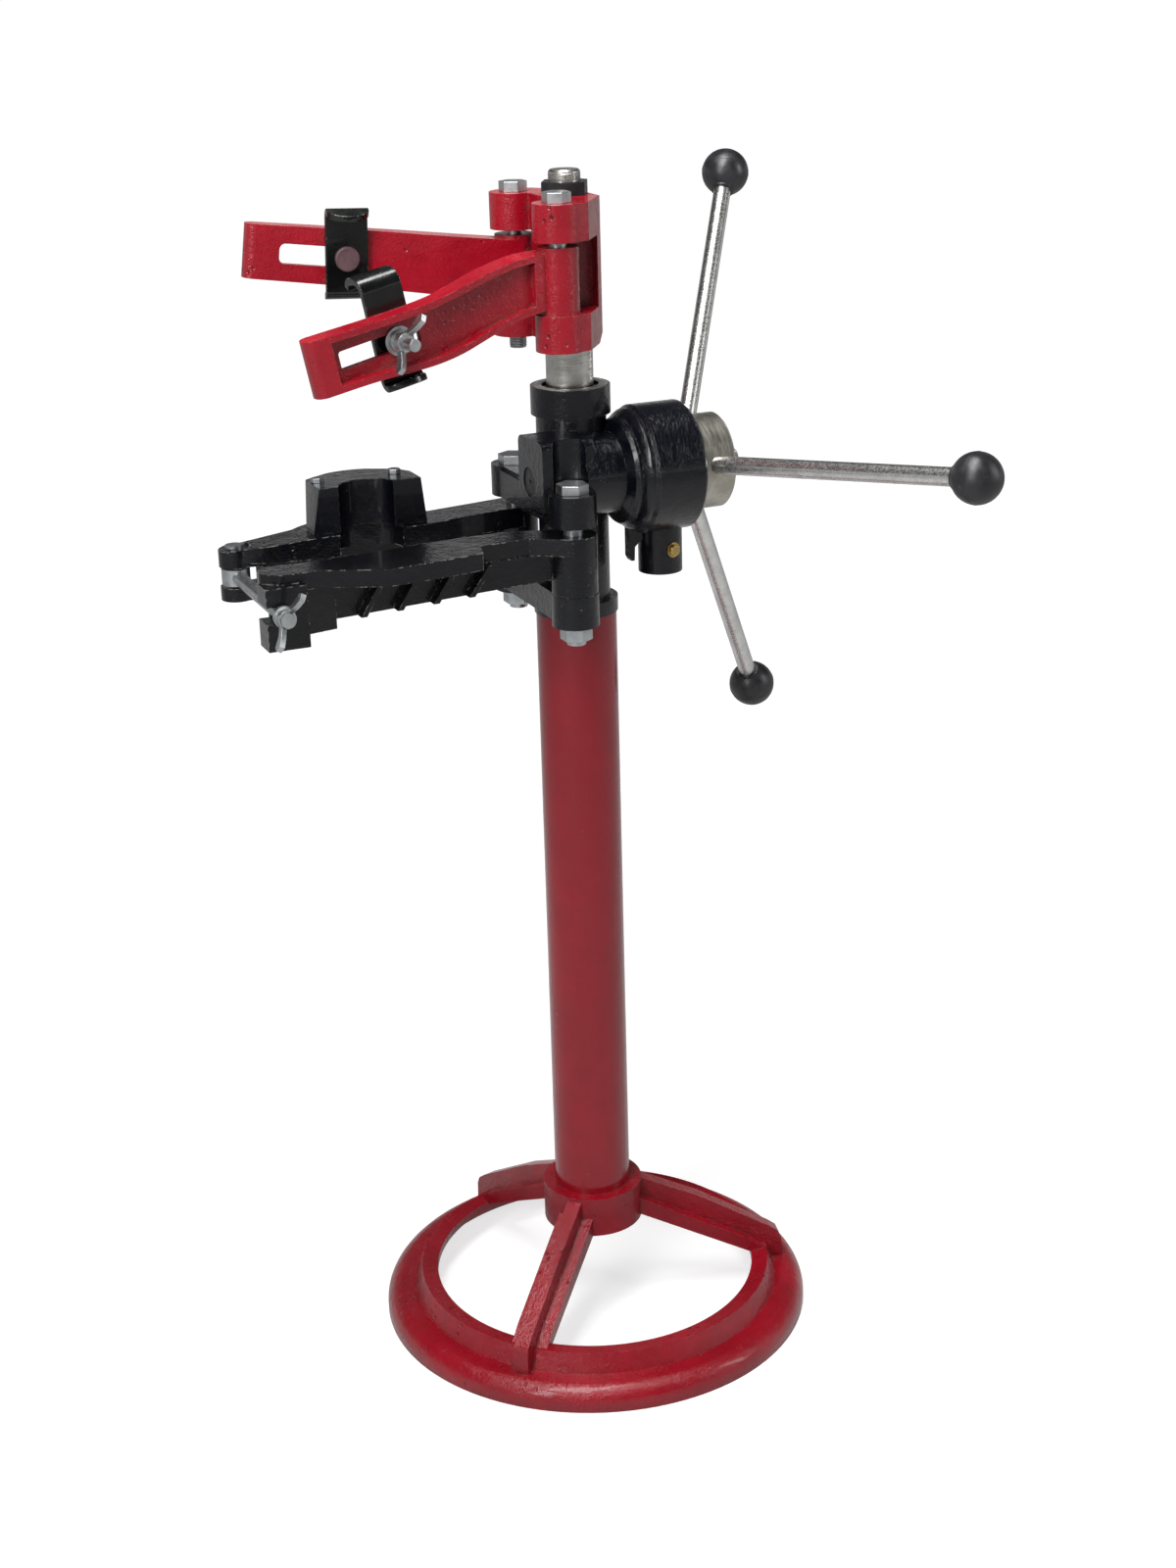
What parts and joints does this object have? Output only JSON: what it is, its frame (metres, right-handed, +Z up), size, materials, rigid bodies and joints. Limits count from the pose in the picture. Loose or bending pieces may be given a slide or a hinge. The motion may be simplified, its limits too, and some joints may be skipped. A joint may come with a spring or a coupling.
{
  "type": "strut spring compressor",
  "caption": "Pedestal strut spring compressor: toothed lift bar cranked by a three-handled wheel, slotted upper hook arms and lower saddle arms on a ring foot.",
  "frame": {"origin": "on the floor, under the column's axis", "axes": "+Z up the column, -Y towards the jaws, +Y along the wheel's shaft away from the jaws, +X the side of the near arms"},
  "size_m": [0.5262, 0.5315, 1.059],
  "materials": {
    "red_paint": "gloss",
    "black_paint": "gloss",
    "brass": "machined",
    "machined_steel": "turned",
    "zinc_plate": "zinc plated",
    "nickel_hub": "satin",
    "plated_rod": "worn plating",
    "black_plastic": "satin",
    "black_oxide": "blackened",
    "painted_head": "dull"
  },
  "bodies": {
    "stand": {"base_ring": "red_paint", "column_tube": "red_paint", "main_housing": "black_paint", "upper_guide_bush": "brass", "lower_guide_bush": "brass", "front_shaft_bush": "brass", "carrier_bush": "brass", "ring_gear": "machined_steel", "case_cover": "machined_steel", "cover_bush": "brass", "cover_circlip": "machined_steel", "brake_spring": "machined_steel", "brake_cap": "black_paint", "limit_screw": "brass", "limit_screw_washer": "brass", "lower_pivot_bolts": "zinc_plate", "lower_pivot_nuts": "zinc_plate"},
    "brake_shoe": {"brake_plunger": "machined_steel"},
    "lift": {"rack_bar": "machined_steel", "upper_bracket": "red_paint", "top_nut": "black_oxide", "upper_pivot_bolts": "zinc_plate", "stop_washer": "machined_steel", "stop_bolt": "machined_steel"},
    "carrier": {"pinion_shaft": "machined_steel", "planet_carrier": "machined_steel", "planet_pins": "machined_steel"},
    "planet_1": {"planet_gear_1": "machined_steel"},
    "planet_2": {"planet_gear_2": "machined_steel"},
    "planet_3": {"planet_gear_3": "machined_steel"},
    "wheel": {"sun_shaft": "machined_steel", "brake_drum": "machined_steel", "drive_keys": "machined_steel", "handwheel_hub": "nickel_hub", "hub_washer": "zinc_plate", "hub_nut": "zinc_plate", "handle_rods": "plated_rod", "ball_knobs": "black_plastic"},
    "near_upper": {"upper_arm_near": "red_paint"},
    "far_upper": {"upper_arm_far": "red_paint"},
    "near_hook": {"hook_near": "black_paint", "hook_bolt_near": "zinc_plate", "hook_washer_near": "zinc_plate"},
    "far_hook": {"hook_far": "black_paint", "hook_bolt_far": "painted_head", "hook_washer_far": "zinc_plate"},
    "near_hook_nut": {"hook_wing_nut_near": "zinc_plate"},
    "far_hook_nut": {"hook_wing_nut_far": "zinc_plate"},
    "near_lower": {"lower_arm_near": "black_paint"},
    "far_lower": {"lower_arm_far": "black_paint", "saddle_block": "black_paint", "saddle_bolts": "zinc_plate", "swing_pin": "zinc_plate"},
    "swing": {"swing_bolt": "zinc_plate"},
    "swing_nut": {"swing_wing_nut": "zinc_plate"}
  },
  "joints": [
    {"name": "wheel_turn", "type": "hinge", "parent": "stand", "child": "wheel", "pos_m": [0.035, 0, 0.81], "axis": [0, 1, 0], "range_deg": [-381, 5092]},
    {"name": "carrier_turn", "type": "hinge", "parent": "stand", "child": "carrier", "pos_m": [0.035, 0, 0.81], "axis": [0, 1, 0], "range_deg": [-96, 1274]},
    {"name": "bar_lift", "type": "slide", "parent": "stand", "child": "lift", "axis": [0, 0, 1], "range_m": [-0.03, 0.4]},
    {"name": "planet_1_turn", "type": "hinge", "parent": "carrier", "child": "planet_1", "pos_m": [0.035, 0.0534, 0.84], "axis": [0, 1, 0], "range_deg": [-3820, 286]},
    {"name": "planet_2_turn", "type": "hinge", "parent": "carrier", "child": "planet_2", "pos_m": [0.06098, 0.0534, 0.795], "axis": [0, 1, 0], "range_deg": [-3820, 286]},
    {"name": "planet_3_turn", "type": "hinge", "parent": "carrier", "child": "planet_3", "pos_m": [0.00902, 0.0534, 0.795], "axis": [0, 1, 0], "range_deg": [-3820, 286]},
    {"name": "near_upper_swing", "type": "hinge", "parent": "lift", "child": "near_upper", "pos_m": [0.047, -0.027, 0.975], "axis": [0, 0, 1], "range_deg": [-8, 40]},
    {"name": "far_upper_swing", "type": "hinge", "parent": "lift", "child": "far_upper", "pos_m": [-0.047, -0.027, 0.975], "axis": [0, 0, 1], "range_deg": [-40, 8]},
    {"name": "near_hook_slide", "type": "slide", "parent": "near_upper", "child": "near_hook", "axis": [0.1347, -0.9708, -0.1985], "range_m": [-0.01, 0.045]},
    {"name": "far_hook_slide", "type": "slide", "parent": "far_upper", "child": "far_hook", "axis": [-0.1363, -0.9823, 0.1284], "range_m": [-0.01, 0.045]},
    {"name": "near_hook_nut_turn", "type": "hinge", "parent": "near_hook", "child": "near_hook_nut", "pos_m": [0.06734, -0.17359, 0.94428], "axis": [0.9905, 0.1374, 0], "range_deg": [-180, 180]},
    {"name": "far_hook_nut_turn", "type": "hinge", "parent": "far_hook", "child": "far_hook_nut", "pos_m": [-0.06693, -0.17062, 0.99283], "axis": [-0.9905, 0.1374, 0], "range_deg": [-180, 180]},
    {"name": "swing_bolt_hinge", "type": "hinge", "parent": "far_lower", "child": "swing", "pos_m": [-0.05, -0.287, 0.74], "axis": [0, 0, 1], "range_deg": [-150, 0]},
    {"name": "near_lower_swing", "type": "hinge", "parent": "stand", "child": "near_lower", "pos_m": [0.07, -0.03, 0.745], "axis": [0, 0, 1], "range_deg": [0, 15]},
    {"name": "far_lower_swing", "type": "hinge", "parent": "stand", "child": "far_lower", "pos_m": [-0.06, -0.03, 0.745], "axis": [0, 0, 1], "range_deg": [-15, 0]},
    {"name": "swing_nut_turn", "type": "hinge", "parent": "swing", "child": "swing_nut", "pos_m": [0.088, -0.287, 0.74], "axis": [1, 0, 0], "range_deg": [-180, 180]},
    {"name": "brake_plunger_slide", "type": "slide", "parent": "stand", "child": "brake_shoe", "axis": [0, 0, 1], "range_m": [-0.003, 0], "stiffness_N_per_m": 2000, "springref_m": 0.003, "deforming": ["brake_spring"]}
  ],
  "couplings": [
    {"joint": "carrier_turn", "follows": "wheel_turn", "ratio": 0.25},
    {"joint": "bar_lift", "follows": "wheel_turn", "m_per_rad": 0.0045},
    {"joint": "planet_1_turn", "follows": "wheel_turn", "ratio": -0.75},
    {"joint": "planet_2_turn", "follows": "wheel_turn", "ratio": -0.75},
    {"joint": "planet_3_turn", "follows": "wheel_turn", "ratio": -0.75},
    {"joint": "near_lower_swing", "follows": "swing_bolt_hinge", "ratio": -0.1},
    {"joint": "far_lower_swing", "follows": "swing_bolt_hinge", "ratio": 0.1}
  ]
}
